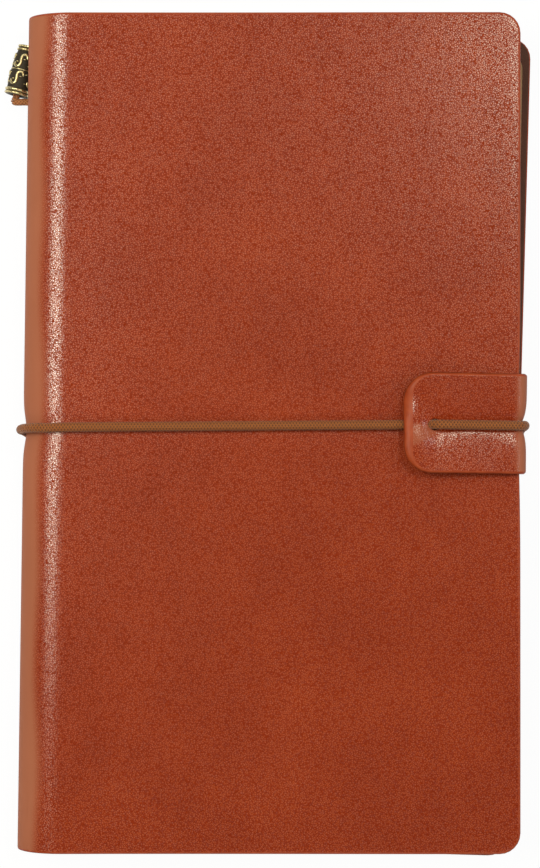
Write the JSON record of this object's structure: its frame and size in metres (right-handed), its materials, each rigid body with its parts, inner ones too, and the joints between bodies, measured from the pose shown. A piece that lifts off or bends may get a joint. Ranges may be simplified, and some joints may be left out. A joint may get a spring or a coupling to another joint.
{
  "type": "travelers notebook",
  "caption": "Soft leather notebook cover wrapped round stapled inserts, closed by an elastic loop through a fore-edge strap, with a metal bead on a cord at the spine.",
  "frame": {"origin": "middle of the back cover's flat outer face, on which the notebook lies", "axes": "+X towards the fore-edge and its strap, +Y towards the head, +Z out of the front cover"},
  "size_m": [0.1288, 0.2033, 0.0236],
  "materials": {
    "leather": "pebbled, satin",
    "kraft": "matte",
    "pages": "matte",
    "staple_wire": "satin",
    "strand_elastic": "matte",
    "closure_elastic": "matte",
    "bead": "antiqued",
    "tail_cord": "matte"
  },
  "bodies": {
    "back": {"back_cover": "leather", "back_insert_kraft": "kraft", "back_insert_pages": "pages", "back_insert_staple_head": "staple_wire", "back_insert_staple_tail": "staple_wire", "back_strand": "strand_elastic", "middle_insert_kraft_back": "kraft", "middle_insert_pages_back": "pages", "middle_insert_staple_head": "staple_wire", "middle_insert_staple_tail": "staple_wire", "middle_strand": "strand_elastic", "bead_tail": "tail_cord", "tail_knot": "tail_cord"},
    "front": {"front_cover": "leather", "front_insert_kraft": "kraft", "front_insert_pages": "pages", "front_insert_staple_head": "staple_wire", "front_insert_staple_tail": "staple_wire", "front_strand": "strand_elastic"},
    "middle_leaf": {"middle_insert_kraft_front": "kraft", "middle_insert_pages_front": "pages"},
    "strap_turn": {"strap_turn": "leather"},
    "strap_flap": {"strap_flap": "leather", "closure_elastic": "closure_elastic"},
    "bead": {"bead": "bead"}
  },
  "joints": [
    {"name": "front_cover_open", "type": "hinge", "parent": "back", "child": "front", "pos_m": [-0.0599, 0, 0.0084], "axis": [0, -1, 0], "range_deg": [0, 178], "deforming": ["closure_elastic"]},
    {"name": "middle_pages_turn", "type": "hinge", "parent": "back", "child": "middle_leaf", "pos_m": [-0.0599, 0, 0.0084], "axis": [0, -1, 0], "range_deg": [0, 171]},
    {"name": "strap_turn_out", "type": "hinge", "parent": "back", "child": "strap_turn", "pos_m": [0.06065, 0, 0.00065], "axis": [0, 1, 0], "range_deg": [0, 88]},
    {"name": "strap_flap_lift", "type": "hinge", "parent": "strap_turn", "child": "strap_flap", "pos_m": [0.06052, 0, 0.0183], "axis": [0, 1, 0], "range_deg": [0, 84]},
    {"name": "bead_pull", "type": "slide", "parent": "back", "child": "bead", "axis": [0, 1, 0], "range_m": [0, 0.042], "deforming": ["bead_tail"]}
  ],
  "couplings": [
    {"joint": "middle_pages_turn", "follows": "front_cover_open", "ratio": 0.96},
    {"joint": "strap_turn_out", "follows": "front_cover_open", "ratio": 0.494},
    {"joint": "strap_flap_lift", "follows": "front_cover_open", "ratio": 0.471},
    {"joint": "bead_pull", "follows": "front_cover_open", "m_per_rad": 0.0135}
  ]
}
